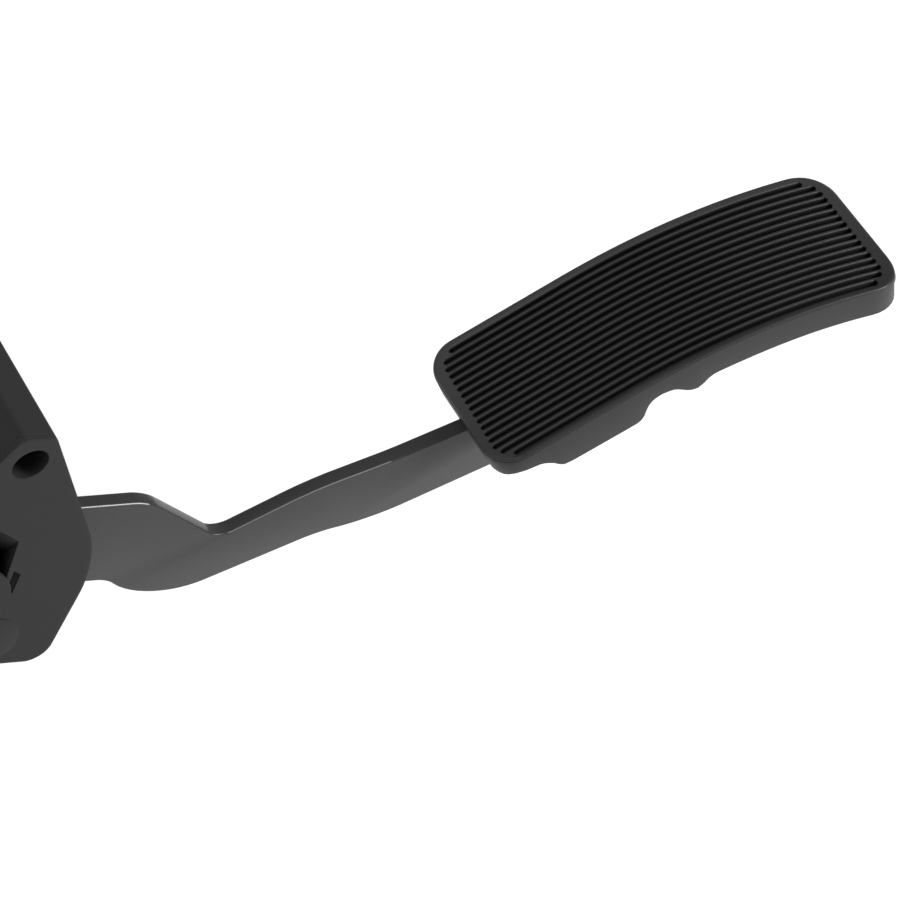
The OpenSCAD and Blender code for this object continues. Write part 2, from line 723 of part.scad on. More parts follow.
// The pad's outline moved inwards by d, with each end cut square to a slope through a place
module pad_plan(d, low_at = pad_start, low_deg = pad_slope, high_at = pad_end, high_deg = pad_end_deg) {
    half = pad_w / 2;
    far = 2 * pad_arc_r;
    intersection() {
        slope_prism(low_at, low_deg) polygon(rounded(inset([
            [-low_lean, -half, low_corner_r], [far, -half, 1], [far, half, 1],
            [low_lean, half, low_corner_r]], d), 8));
        slope_prism(high_at, high_deg) polygon(rounded(inset([
            [-far, -half, 1], [high_lean, -half, high_corner_r],
            [-high_lean, half, high_corner_r], [-far, half, 1]], d), 8));
    }
}

// The carrier's outline: its walls follow the mould's pull, square to the pad's chord
module carrier_plan(d) {
    chord = pad_end - pad_start;
    pull_deg = atan2(chord[1], chord[0]);
    pad_plan(d, on_pad(0, tread_t), pull_deg, on_pad(pad_len, tread_t), pull_deg);
}

module tread_grooves() {
    first = -(groove_n - 1) / 2 * groove_pitch;
    intersection() {
        for (i = [0:groove_n - 1])
            side_plate(first + i * groove_pitch - groove_w / 2, first + i * groove_pitch + groove_w / 2)
                pad_band(-1, groove_d, 2);
        pad_plan(rim_w);
    }
}

module pad_cover() {
    color([0.1, 0.1, 0.1]) difference() {
        intersection() {
            side_plate(-pad_w, pad_w) pad_band(0, tread_t, 6);
            pad_plan(ledge);
        }
        tread_grooves();
    }
}

// Lower edge of the carrier's walls as [distance along the pad, depth below the crest, radius]
skirt_line = [
    [-12, 10.4, 0], [3, 10.2, 4], [8.5, 7.6, 3], [16.5, 8.8, 5], [22, 17, 2.5], [53.3, 17.8, 2],
    [57.5, 9.6, 3.5], [67.5, 9.2, 5], [75.5, 17.6, 4.5], [83, 12.6, 5], [100, 12.8, 60],
    [117, 12.8, 60], [134, 12.8, 60], [151, 13, 60], [178, 12.6, 0], [178, -40, 0], [-12, -40, 0]];
skirt_area = [for (q = skirt_line) let (p = on_pad(q[0], q[1])) [p[0], p[1], q[2]]];
cheek_t = 2.6;
cheek_out = arm_t / 2 + fit + cheek_t;
cheek_depth = 27;
rib_t = 1.8;
rib_depth = 6;
rib_x = [206, 226, 246, 266, 286, 303];
cheek_area = [[196, 70, 3], [222, 82, 3], [262, 112, 4], [262, 150, 0], [196, 110, 0]];
pad_screw_r = 2;
pad_screw_at = [[214, 84], [240, 107]];

module carrier_area(top) {
    intersection() {
        pad_band(top, 60, 6);
        polygon(rounded(skirt_area, 6));
    }
}

module pad_carrier() {
    inside = pad_w / 2 - skirt_wall + 0.2;
    rib_in = arm_t / 2 + fit + 1;
    color([0.22, 0.22, 0.22]) difference() {
        union() {
            difference() {
                intersection() {
                    side_plate(-pad_w, pad_w) carrier_area(tread_t);
                    carrier_plan(0);
                }
                intersection() {
                    side_plate(-pad_w, pad_w) pad_band(tread_t + skirt_wall, 70, 6);
                    carrier_plan(skirt_wall);
                }
            }
            // Two cheeks that hold the arm
            intersection() {
                for (s = [-1, 1]) translate([0, s * (arm_t / 2 + fit + cheek_t / 2), 0])
                    side_plate(-cheek_t / 2, cheek_t / 2) intersection() {
                        pad_band(tread_t + skirt_wall - eps, cheek_depth, 0);
                        polygon(rounded(cheek_area, 5));
                    }
                carrier_plan(skirt_wall / 2);
            }
            // Ribs across the underside
            intersection() {
                for (x = rib_x, s = [-1, 1]) translate([x, s * (inside + rib_in) / 2, 0])
                    block([-rib_t / 2, (rib_in - inside) / 2, 0], [rib_t / 2, (inside - rib_in) / 2, 200]);
                side_plate(-pad_w, pad_w)
                    pad_band(tread_t + skirt_wall - eps, tread_t + skirt_wall + rib_depth, 0);
                carrier_plan(skirt_wall / 2);
            }
        }
        for (p = pad_screw_at) cross_bar(p, pad_screw_r + fit, -cheek_out - 1, cheek_out + 1);
        // Slot for the arm in the lower end wall
        side_plate(-arm_t / 2 - fit, arm_t / 2 + fit)
            polygon(rounded(inset(arm_outline, -gap / 2), 10));
    }
}

module pad_screws() {
    reach = cheek_out + fit;
    color([0.6, 0.6, 0.6]) for (p = pad_screw_at) {
        cross_bar(p, pad_screw_r, -reach - 1, reach + 1);
        cross_bar(p, pad_screw_r + 1.6, -reach - 1.8, -reach);
        cross_bar(p, pad_screw_r + 1.6, reach, reach + 1.8);
    }
}

housing();
side_cover();
cover_screws();
pivot_cap();
bush_near();
bush_far();
pivot_shaft();
hub();
arm();
hub_rivets();
friction_lever();
brake_pad();
outer_spring();
inner_spring();
spring_cup();
idle_stop();
full_stop();
sensor_body();
sensor_cover();
sensor_rotor();
rotor_magnet();
sensor_board();
connector_pins();
sensor_screws();
sensor_seal();
mount_sleeves();
pad_carrier();
pad_cover();
pad_screws();
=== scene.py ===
# %% [markdown]
# This is an accelerator pedal: a ribbed rubber pad on a bent steel arm, and the plastic housing
# that the arm pivots in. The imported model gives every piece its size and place. This lesson adds
# what a press shop, a moulding tool and a paint line leave behind: rounded edges, a fine grain,
# soft rubber ribs and a satin coat. Lengths below are in millimetres where a name doesn't say
# otherwise, and MM turns them into Blender's metres.

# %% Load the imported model
import json
import math

import bmesh
import bpy
from mathutils import Matrix, Vector


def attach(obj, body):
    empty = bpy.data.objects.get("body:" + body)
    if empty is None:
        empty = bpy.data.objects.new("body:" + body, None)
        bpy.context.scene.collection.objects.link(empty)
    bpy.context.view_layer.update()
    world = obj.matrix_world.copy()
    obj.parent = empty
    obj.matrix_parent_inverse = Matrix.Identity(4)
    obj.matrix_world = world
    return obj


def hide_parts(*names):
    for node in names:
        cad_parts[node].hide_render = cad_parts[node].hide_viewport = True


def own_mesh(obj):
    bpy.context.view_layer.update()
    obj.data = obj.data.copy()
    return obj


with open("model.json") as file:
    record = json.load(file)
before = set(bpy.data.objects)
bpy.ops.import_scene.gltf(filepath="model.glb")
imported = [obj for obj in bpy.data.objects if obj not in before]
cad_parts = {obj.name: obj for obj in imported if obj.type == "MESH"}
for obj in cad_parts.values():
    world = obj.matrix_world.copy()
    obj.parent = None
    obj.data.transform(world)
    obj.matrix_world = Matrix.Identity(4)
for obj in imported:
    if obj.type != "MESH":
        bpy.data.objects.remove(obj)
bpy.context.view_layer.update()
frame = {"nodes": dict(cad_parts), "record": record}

MM = 0.001
print("pieces in the packed model:", len(frame["nodes"]))

# %% [markdown]
# The camera comes first, because every later choice is judged through it. A long lens far away
# draws the pedal almost without perspective, as a product photo does. The view is given as a
# heading, a height and a roll, because the pedal lies askew in the picture. An empty to track
# would aim it as well, but three angles are easier to read and to change.

# %% Camera
camera_place = Vector((-1.8204, -1.7948, 2.1244))
camera_heading, camera_height, camera_roll = (math.radians(a) for a in (48.25, 37.40, 30.08))
look = Vector((
    math.sin(camera_heading) * math.cos(camera_height),
    math.cos(camera_heading) * math.cos(camera_height),
    -math.sin(camera_height)))
camera_data = bpy.data.cameras.new("camera")
camera_data.lens = 400
camera_data.sensor_width = 36
camera_data.clip_end = 50
camera = bpy.data.objects.new("camera", camera_data)
camera.rotation_mode = "QUATERNION"
roll = Matrix.Rotation(camera_roll, 3, "Z").to_quaternion()
camera.rotation_quaternion = look.to_track_quat("-Z", "Y") @ roll
camera.location = camera_place
bpy.context.scene.collection.objects.link(camera)
bpy.context.scene.camera = camera
bpy.context.scene.view_settings.view_transform = "Standard"
print("camera looks along", tuple(round(c, 3) for c in look))

# %% [markdown]
# The world is a faint white room that lifts the deepest shadows. A photo on white paper has a
# background brighter than the light on the object, so the camera's own rays see full white. Other
# rays don't, and the black plastic stays black.

# %% World
room_light, paper_white = 0.25, 1.0
world = bpy.data.worlds.new("white_room")
bpy.context.scene.world = world
world.use_nodes = True
tree = world.node_tree
tree.nodes.clear()
lit = tree.nodes.new("ShaderNodeBackground")
lit.inputs["Color"].default_value = (1, 1, 1, 1)
lit.inputs["Strength"].default_value = room_light
seen = tree.nodes.new("ShaderNodeBackground")
seen.inputs["Color"].default_value = (1, 1, 1, 1)
seen.inputs["Strength"].default_value = paper_white
mix = tree.nodes.new("ShaderNodeMixShader")
camera_only = tree.nodes.new("ShaderNodeLightPath")
tree.links.new(camera_only.outputs["Is Camera Ray"], mix.inputs[0])
tree.links.new(lit.outputs[0], mix.inputs[1])
tree.links.new(seen.outputs[0], mix.inputs[2])
tree.links.new(mix.outputs[0], tree.nodes.new("ShaderNodeOutputWorld").inputs[0])
print("room light", room_light, "and background", paper_white)

# %% [markdown]
# Two broad lamps light the part. The strong one stands beyond the pad, so that the flat sides of
# the housing and the arm come out a shade lighter than their tops. The weak one fills in from
# behind the housing. A sun lamp would be simpler, but its shadows would be too hard.

# %% Lamps
def area_lamp(name, place, aim, size, power):
    """A square lamp that shines from place to aim, in metres and watts."""
    data = bpy.data.lights.new(name, "AREA")
    data.shape = "SQUARE"
    data.size = size
    data.energy = power
    lamp = bpy.data.objects.new(name, data)
    lamp.location = place
    lamp.rotation_mode = "QUATERNION"
    lamp.rotation_quaternion = (Vector(aim) - Vector(place)).to_track_quat("-Z", "Y")
    bpy.context.scene.collection.objects.link(lamp)
    return lamp


key_lamp = area_lamp("key_lamp", (0.82, -0.6, 0.76), (0.12, 0, 0.05), 0.55, 13)
fill_lamp = area_lamp("fill_lamp", (-0.75, 0.1, 0.75), (0.05, 0, 0.05), 0.8, 4)
print("lamps of", key_lamp.data.energy, "and", fill_lamp.data.energy, "W")

# %% [markdown]
# The floor is one large square of white paper. It lies below the lowest point that the arm reaches
# when the pedal is pressed. A curved backdrop would hide a horizon, but from this high up none
# shows.

# %% Floor
floor_drop, floor_half = 0.03, 12
floor_mesh = bpy.data.meshes.new("floor")
bm = bmesh.new()
bmesh.ops.create_grid(bm, x_segments=1, y_segments=1, size=floor_half)
bmesh.ops.translate(bm, verts=bm.verts, vec=(0, 0, -floor_drop))
bm.to_mesh(floor_mesh)
bm.free()
floor = bpy.data.objects.new("floor", floor_mesh)
bpy.context.scene.collection.objects.link(floor)
print("floor at", -floor_drop, "m")

# %% [markdown]
# For ordinary rays the paper is plain and matt, so it throws soft light up under the part. For the
# camera and for gloss it glows nearly white, and a faint matt share keeps the shadow. A plain
# white paint would come out grey this far from the lamps.

# %% Paper
def rays_that_see_white(tree):
    """A value that is 1 for camera, glossy and transmission rays and 0 for the rest."""
    path = tree.nodes.new("ShaderNodeLightPath")
    total = path.outputs["Is Camera Ray"]
    for name in ("Is Glossy Ray", "Is Transmission Ray"):
        either = tree.nodes.new("ShaderNodeMath")
        either.operation = "MAXIMUM"
        tree.links.new(total, either.inputs[0])
        tree.links.new(path.outputs[name], either.inputs[1])
        total = either.outputs[0]
    return total


paper_grey, shadow_grey, paper_glow = 0.8, 0.35, 0.8
floor_material = bpy.data.materials.new("pale_floor")
floor_material.use_nodes = True
tree = floor_material.node_tree
tree.nodes.clear()
matt = tree.nodes.new("ShaderNodeBsdfDiffuse")
matt.inputs["Color"].default_value = (paper_grey, paper_grey, paper_grey, 1)
faint = tree.nodes.new("ShaderNodeBsdfDiffuse")
faint.inputs["Color"].default_value = (shadow_grey, shadow_grey, shadow_grey, 1)
glow = tree.nodes.new("ShaderNodeEmission")
glow.inputs["Strength"].default_value = paper_glow
both = tree.nodes.new("ShaderNodeAddShader")
pick = tree.nodes.new("ShaderNodeMixShader")
tree.links.new(faint.outputs[0], both.inputs[0])
tree.links.new(glow.outputs[0], both.inputs[1])
tree.links.new(rays_that_see_white(tree), pick.inputs[0])
tree.links.new(matt.outputs[0], pick.inputs[1])
tree.links.new(both.outputs[0], pick.inputs[2])
tree.links.new(pick.outputs[0], tree.nodes.new("ShaderNodeOutputMaterial").inputs[0])
floor_mesh.materials.append(floor_material)
print("paper glows at", paper_glow)

# %% [markdown]
# No real surface is perfectly even. Every finish here is one small recipe: a base colour, a
# roughness that drifts a little over the surface, and a fine grain for the bump. Image textures
# would do it too, but noise needs no files. It reads Object coordinates, so the grain keeps its
# size on every piece.

# %% Finish recipe
grain_detail, patch_detail, patch_scale = 3, 4, 30


def finish(name, colour, roughness, grain_size, grain_depth,
           drift=0.06, metallic=0.0, shade=0.08, gloss=0.5):
    """A satin finish with a grain of grain_size mm, grain_depth mm deep."""
    material = bpy.data.materials.new(name)
    material.use_nodes = True
    tree = material.node_tree
    shader = tree.nodes["Principled BSDF"]
    shader.inputs["Metallic"].default_value = metallic
    shader.inputs["Specular IOR Level"].default_value = gloss
    place = tree.nodes.new("ShaderNodeTexCoord").outputs["Object"]
    grain = tree.nodes.new("ShaderNodeTexNoise")
    grain.inputs["Scale"].default_value = 1 / (grain_size * MM)
    grain.inputs["Detail"].default_value = grain_detail
    tree.links.new(place, grain.inputs["Vector"])
    bump = tree.nodes.new("ShaderNodeBump")
    bump.inputs["Strength"].default_value = 1
    bump.inputs["Distance"].default_value = grain_depth * MM
    tree.links.new(grain.outputs["Fac"], bump.inputs["Height"])
    tree.links.new(bump.outputs["Normal"], shader.inputs["Normal"])
    patches = tree.nodes.new("ShaderNodeTexNoise")
    patches.inputs["Scale"].default_value = patch_scale
    patches.inputs["Detail"].default_value = patch_detail
    tree.links.new(place, patches.inputs["Vector"])
    rough = tree.nodes.new("ShaderNodeMapRange")
    rough.inputs["To Min"].default_value = roughness - 2 * drift
    rough.inputs["To Max"].default_value = roughness + 2 * drift
    tree.links.new(patches.outputs["Fac"], rough.inputs["Value"])
    tree.links.new(rough.outputs["Result"], shader.inputs["Roughness"])
    tint = tree.nodes.new("ShaderNodeMix")
    tint.data_type = "RGBA"
    tint.inputs["A"].default_value = tuple(c * (1 - shade) for c in colour) + (1,)
    tint.inputs["B"].default_value = tuple(min(1, c * (1 + shade)) for c in colour) + (1,)
    tree.links.new(patches.outputs["Fac"], tint.inputs["Factor"])
    tree.links.new(tint.outputs["Result"], shader.inputs["Base Color"])
    return material


print("noise detail of the grain", grain_detail, "and of the patches", patch_detail)

# %% [markdown]
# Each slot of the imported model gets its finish. The mouldings are near black and hardly shiny,
# the arm is steel dipped in a satin black paint, and the screws are zinc plated. The hidden
# pieces get the look that their materials have in such a module.

# %% Finishes
finishes = {
    "housing_plastic": finish(
        "black_moulding", (0.036, 0.036, 0.036), 0.4, 0.35, 0.008, gloss=0.06),
    "carrier_plastic": finish("grey_moulding", (0.04, 0.04, 0.04), 0.5, 0.35, 0.01, gloss=0.15),
    "lever_plastic": finish("lever_moulding", (0.1, 0.1, 0.105), 0.55, 0.4, 0.01),
    "natural_plastic": finish("natural_acetal", (0.7, 0.68, 0.62), 0.4, 0.5, 0.005),
    "sensor_plastic": finish("sensor_moulding", (0.03, 0.03, 0.032), 0.42, 0.4, 0.008),
    "coated_steel": finish(
        "dip_coated_steel", (0.045, 0.045, 0.045), 0.28, 0.35, 0.002, drift=0.02, gloss=0.25),
    "bright_steel": finish("ground_steel", (0.6, 0.6, 0.61), 0.25, 0.3, 0.004, metallic=1.0),
    "zinc_steel": finish("zinc_plate", (0.55, 0.56, 0.57), 0.35, 0.4, 0.005, metallic=1.0),
    "spring_steel": finish("spring_wire", (0.3, 0.3, 0.31), 0.35, 0.3, 0.004, metallic=1.0),
    "bush_bronze": finish("sintered_bronze", (0.5, 0.34, 0.16), 0.5, 0.2, 0.01, metallic=1.0),
    "contact_brass": finish("contact_metal", (0.75, 0.6, 0.3), 0.3, 0.3, 0.004, metallic=1.0),
    "friction_lining": finish("brown_lining", (0.22, 0.15, 0.1), 0.8, 0.4, 0.03),
    "magnet": finish("bonded_magnet", (0.12, 0.12, 0.13), 0.5, 0.3, 0.01),
    "circuit_board": finish("green_board", (0.03, 0.18, 0.07), 0.35, 0.6, 0.004),
    "stop_rubber": finish("stop_rubber", (0.02, 0.02, 0.02), 0.7, 0.4, 0.015),
    "seal_rubber": finish("seal_rubber", (0.3, 0.09, 0.04), 0.6, 0.4, 0.01),
    "tread_rubber": finish("tread_rubber", (0.008, 0.008, 0.008), 0.42, 0.3, 0.006, gloss=0.3),
}
print("finishes:", len(finishes))

# %% [markdown]
# Three finishes change within one piece. The tread's rim is greyer than its ribs, with a painted
# highlight on the crests and painted shade in the grooves. The housing's deep openings swallow the
# light, which is painted shade, and the arm's top edge carries a painted highlight. Each of those
# pieces carries a number per vertex, and the finish mixes towards a second colour by that number.
# A second material would leave a hard line where this gives a soft one.

# %% Finishes that change within a piece
def tint_by_attribute(material, attribute, colour, gloss=None):
    """Mixes a finish towards colour, and a gloss, where the piece's own attribute says so."""
    tree = material.node_tree
    shader = tree.nodes["Principled BSDF"]
    amount = tree.nodes.new("ShaderNodeAttribute")
    amount.attribute_name = attribute
    tint = tree.nodes.new("ShaderNodeMix")
    tint.data_type = "RGBA"
    tint.inputs["B"].default_value = colour + (1,)
    tree.links.new(amount.outputs["Fac"], tint.inputs["Factor"])
    tree.links.new(shader.inputs["Base Color"].links[0].from_socket, tint.inputs["A"])
    tree.links.new(tint.outputs["Result"], shader.inputs["Base Color"])
    if gloss is not None:
        level = tree.nodes.new("ShaderNodeMapRange")
        level.inputs["To Min"].default_value = shader.inputs["Specular IOR Level"].default_value
        level.inputs["To Max"].default_value = gloss
        tree.links.new(amount.outputs["Fac"], level.inputs["Value"])
        tree.links.new(level.outputs["Result"], shader.inputs["Specular IOR Level"])


# The tread's grey rim with its painted highlight and shade, the painted shade of the openings, and
# the arm's painted highlight
second_colours = [
    ("tread_rubber", "rim", (0.08, 0.08, 0.08), None),
    ("housing_plastic", "deep", (0.002, 0.002, 0.002), 0.0),
    ("coated_steel", "edge", (0.8, 0.8, 0.8), None)]
for name, attribute, colour, gloss in second_colours:
    tint_by_attribute(finishes[name], attribute, colour, gloss)
print("finishes with a second colour:", len(second_colours))

# %% [markdown]
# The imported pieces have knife-sharp edges, which no mould gives. Live modifiers round them and
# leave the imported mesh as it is: the first joins its triangles, the second takes out the lines
# across flat faces, and the third bevels what is left. A bevel alone would follow every triangle.

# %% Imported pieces
def round_edges(piece, width, angle=30):
    """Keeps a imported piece's mesh and rounds its edges by width mm with live modifiers."""
    weld = piece.modifiers.new("weld", "WELD")
    weld.merge_threshold = 0.00001
    flat = piece.modifiers.new("flat", "DECIMATE")
    flat.decimate_type = "DISSOLVE"
    flat.angle_limit = math.radians(1)
    bevel = piece.modifiers.new("bevel", "BEVEL")
    bevel.width = width * MM
    bevel.segments = 3
    bevel.limit_method = "ANGLE"
    bevel.angle_limit = math.radians(angle)
    bevel.use_clamp_overlap = False
    bevel.harden_normals = True


slot_of = {s["node"]: s["material_slot"] for s in frame["record"]["subparts"]}
for name, piece in frame["nodes"].items():
    piece.data.materials.clear()
    piece.data.materials.append(finishes[slot_of[name]])
moulded_edge = 0.35
rounded = ("housing", "pivot_cap", "sensor_body", "sensor_cover", "mount_sleeves")
for name in rounded:
    round_edges(frame["nodes"][name], moulded_edge)
print("packed pieces with rounded edges:", len(rounded))

# %% [markdown]
# A pressed or moulded plate is a flat outline with a thickness, so these helpers make it that way
# too. It starts as a few corner points. Each corner is bevelled as a vertex, which rounds the
# outline, and the face is then extruded. A curve object could hold the outline, but a bmesh keeps
# every step in one place.

# %% Shared helpers
def corner_tangent(before, at, after, radius):
    """How far from a corner its rounding starts, for a rounding of that radius."""
    a, b = (before - at).normalized(), (after - at).normalized()
    half = a.angle(b) / 2
    return radius / math.tan(half)


def outline_face(bm, corners, steps=8):
    """Adds one flat face through corners, given as (place, radius), each rounded."""
    older = set(bm.faces)
    places = [Vector(p) * MM for p, r in corners]
    face_verts = [bm.verts.new(p) for p in places]
    bm.faces.new(face_verts)
    for i, (_, radius) in enumerate(corners):
        if radius <= 0:
            continue
        after = places[(i + 1) % len(places)]
        reach = corner_tangent(places[i - 1], places[i], after, radius * MM)
        bmesh.ops.bevel(
            bm, geom=[face_verts[i]], offset=reach, offset_type="OFFSET", affect="VERTICES",
            segments=steps, profile=0.5, material=-1, clamp_overlap=False)
    return next(f for f in bm.faces if f not in older)


def side_corners(corners, y):
    """Corners (x, z, radius) of a side outline as places at y."""
    return [((x, y, z), r) for x, z, r in corners]


def extrude_faces(bm, faces, move, sunk=False):
    """Extrudes faces by move and returns the moved vertices. A sunk pocket loses its lid."""
    new = bmesh.ops.extrude_face_region(bm, geom=faces)["geom"]
    if sunk:
        bmesh.ops.delete(bm, geom=faces, context="FACES_ONLY")
    moved = [g for g in new if isinstance(g, bmesh.types.BMVert)]
    bmesh.ops.translate(bm, verts=moved, vec=Vector(move) * MM)
    return moved


def soften(bm, width, segments=2, angle=30, skip=()):
    """Bevels every edge that is sharper than angle, except those in skip."""
    sharp = [e for e in bm.edges if e.is_manifold and e.calc_face_angle(0) > math.radians(angle)]
    sharp = [e for e in sharp if e not in skip]
    bmesh.ops.bevel(
        bm, geom=sharp, offset=width * MM, offset_type="OFFSET", affect="EDGES",
        segments=segments, profile=0.5, material=-1, clamp_overlap=True)


def place_piece(bm, name, slot, body, *nodes, angle=35):
    """Turns a finished bmesh into the piece that stands for nodes."""
    bmesh.ops.recalc_face_normals(bm, faces=bm.faces)
    mesh = bpy.data.meshes.new(name)
    bm.to_mesh(mesh)
    bm.free()
    mesh.shade_smooth()
    mesh.set_sharp_from_angle(angle=math.radians(angle))
    piece = bpy.data.objects.new(name, mesh)
    bpy.context.scene.collection.objects.link(piece)
    mesh.materials.append(finishes[slot])
    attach(piece, body)
    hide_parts(*nodes)
    print(name, "has", len(mesh.polygons), "faces")
    return piece


print("helpers ready")

# %% [markdown]
# The housing is a moulded box whose near side is a separate cover. The cover starts as its
# outline. Each opening starts as a face that is a little too large: an inset leaves a narrow ring
# of quads round it, and the rest of the wall is filled in at the end. A boolean cut would be
# quicker to write, but it leaves long thin triangles that take no clean bevel.

# %% Outline helpers for the housing
near_y, cover_thick = -24, 2.5
pivot_z = 32
case_outline = [
    (40, 0, 8), (40, pivot_z + 17.6, 52), (-4.3, 111, 2), (-17.4, 111, 3.5), (-28, 88, 6),
    (-60, 78, 8), (-60, 0, 2)]


def grown(corners, by):
    """The side outline with its corners (x, z, radius) moved outwards by that much."""
    out = []
    for i, (x, z, radius) in enumerate(corners):
        before, after = Vector(corners[i - 1][:2]), Vector(corners[(i + 1) % len(corners)][:2])
        here = Vector((x, z))
        a, b = (here - before).normalized(), (after - here).normalized()
        normal_a, normal_b = Vector((a.y, -a.x)), Vector((b.y, -b.x))
        shift = (normal_a + normal_b) / (1 + normal_a.dot(normal_b)) * by
        out.append((x + shift.x, z + shift.y, radius + by if radius > 0 else 0))
    return out


def opening(bm, corners, ring, steps=6):
    """A face for an opening in the near wall with a ring round it, and the ring's outer edges."""
    face = outline_face(bm, side_corners(grown(corners, ring), near_y), steps=steps)
    quads = bmesh.ops.inset_individual(bm, faces=[face], thickness=ring * MM, depth=0)["faces"]
    return face, [e for f in quads for e in f.edges if e.is_boundary]


def sink(bm, face, depth):
    """Sinks a pocket below a face and returns its floor's vertices."""
    return extrude_faces(bm, [face], (0, depth, 0), sunk=True)


def shell(bm, corners, wall, depth, steps=6):
    """The outside of a pocket that is deeper than the cover, and its edges on the cover's back."""
    face = outline_face(bm, side_corners(grown(corners, wall), near_y + cover_thick), steps=steps)
    back_edges = list(face.edges)
    sink(bm, face, depth + wall - cover_thick)
    return back_edges


print("outline corners:", len(case_outline))

# %% [markdown]
# The cover is the housing's near wall. It begins as a plain plate with the outline's own rim. Its
# two flat sides are taken off again, because they come back later with the openings in them.

# %% Cover plate
edge_ring = 1.5
bm = bmesh.new()
plate = outline_face(bm, side_corners(case_outline, near_y), steps=14)
moved = extrude_faces(bm, [plate], (0, cover_thick, 0))
back = next(f for f in bm.faces if all(v in moved for v in f.verts))
back_edges = list(back.edges)
bmesh.ops.inset_individual(bm, faces=[plate], thickness=edge_ring * MM, depth=0)
front_edges = list(plate.edges)
bmesh.ops.delete(bm, geom=[plate, back], context="FACES_ONLY")
print("the cover's rim has", len(bm.faces), "faces")

# %% [markdown]
# The window is a pocket whose floor slopes away from its top edge, as a mould's wedge leaves it.
# The floor is sunk flat and cut where the slope ends, and its vertices are then moved to the
# slope. That keeps the pocket's walls upright and its top edge clean.

# %% Window
window_ring = 0.6
window = [(6.3, 42, 0.3), (2.9, 61.4, 0.3), (-14, 71.2, 3), (-14, 42, 2)]
window_depth, window_slope, window_lip = 7, 0.7, 0.05
face, rim_edges = opening(bm, window, window_ring)
front_edges += rim_edges
floor_verts = sink(bm, face, window_depth)
window_floor = [f for f in bm.faces if all(v in floor_verts for v in f.verts)]
floor_edges = list({e for f in window_floor for e in f.edges})
top_x, top_z, _ = window[1]
top_corner = Vector((top_x, near_y, top_z)) * MM
top_edge = Vector((window[2][0] - top_x, window[2][1] - top_z)).normalized()
down = Vector((-top_edge.y, 0, top_edge.x))
crease = top_corner + down * (window_depth / window_slope) * MM
bmesh.ops.bisect_plane(
    bm, geom=window_floor + floor_edges + floor_verts, plane_co=crease, plane_no=down)
for vert in bm.verts:
    if vert.co.y > (near_y + window_depth) * MM - 1e-6:
        below = max(0, (vert.co - top_corner).dot(down) / MM)
        vert.co.y = (near_y + min(window_depth, window_lip + window_slope * below)) * MM
print("window floor starts with", len(floor_verts), "corners")

# %% [markdown]
# The small pocket beside the window has a sloping floor too. The bore is a square whose corners
# are rounded by nearly half its side, so the same helper makes it. Both the window and the bore
# are deeper than the cover, so each gets a shell behind it.

# %% Pocket, bore and shells
pocket = [(9, 38, 0.3), (11.8, 35.2, 0.3), (11.1, 44.6, 0.3), (7.6, 46.7, 0.3), (8.2, 41.2, 0)]
pocket_ring, pocket_depth, pocket_least, pocket_slope, pocket_end_x = 0.5, 1.6, 0.1, 0.6, 12.2
face, rim_edges = opening(bm, pocket, pocket_ring)
front_edges += rim_edges
for vert in sink(bm, face, pocket_depth):
    depth = (pocket_end_x - vert.co.x / MM) * pocket_slope
    vert.co.y = (near_y + min(pocket_depth, max(pocket_least, depth))) * MM

bore_x, bore_z, bore_radius, bore_depth, bore_ring = -9.5, 99, 6.65, 24, 0.8
bore = [(bore_x + x * bore_radius, bore_z + z * bore_radius, bore_radius * 0.999)
        for x, z in ((1, -1), (1, 1), (-1, 1), (-1, -1))]
face, rim_edges = opening(bm, bore, bore_ring, steps=16)
front_edges += rim_edges
sink(bm, face, bore_depth)
window_wall, bore_wall = 0.8, 0.04
back_edges += shell(bm, window, window_wall, window_depth)
back_edges += shell(bm, bore, bore_wall, bore_depth, steps=16)
print("edges to fill between:", len(front_edges), "in front and", len(back_edges), "behind")

# %% [markdown]
# The fill closes the flat wall between the outline and the openings, on both sides. One bevel then
# rounds every edge of the cover, as the mould does. The fill's own lines cross a flat face, so the
# bevel leaves them out.

# %% Flat sides of the cover
cover_edge = 0.4
flat_edges = set(front_edges) | set(back_edges)
for edges, side in ((front_edges, -1), (back_edges, 1)):
    filled = bmesh.ops.triangle_fill(bm, use_beauty=False, edges=edges, normal=(0, side, 0))
    flat_edges |= set(filled["geom"])
print("cover's open edges:", sum(not e.is_manifold for e in bm.edges))
soften(bm, cover_edge, segments=3, angle=40, skip=flat_edges)

# %% [markdown]
# Hardly any light comes back out of the openings. The number "deep" grows with the depth below
# the cover's face, and the finish turns black by it. Bounced light alone would leave them greyer
# than a deep hole in black plastic is.

# %% Dark openings
shade_from = 0.1
# Each opening: its middle, a reach that holds it, and the depth at which it is fully dark
openings = [((bore_x, bore_z), 7.6, 0.3), ((-4, 57), 18, 5.5), ((10, 41), 6.5, 1.6)]
deep = bm.verts.layers.float.new("deep")
# Painted shade: the openings turn black with depth
for vert in bm.verts:
    x, y, z = vert.co / MM
    for (middle_x, middle_z), reach, dark_at in openings:
        if math.hypot(x - middle_x, z - middle_z) < reach:
            vert[deep] = min(1, max(0, y - near_y - shade_from) / dark_at)
print("darkened vertices:", sum(vert[deep] > 0 for vert in bm.verts))

# %% [markdown]
# The foot pad is a low round disc on the cover. It leans a little, so its lower rim sinks into the
# wall and only its upper rim shows. A flat circle is extruded, its front rim is bevelled, and the
# lean is a shift that grows upwards. Turning the disc would do as well, but a shift leaves its
# outline round from the side. Nothing of it may reach below the housing's foot.

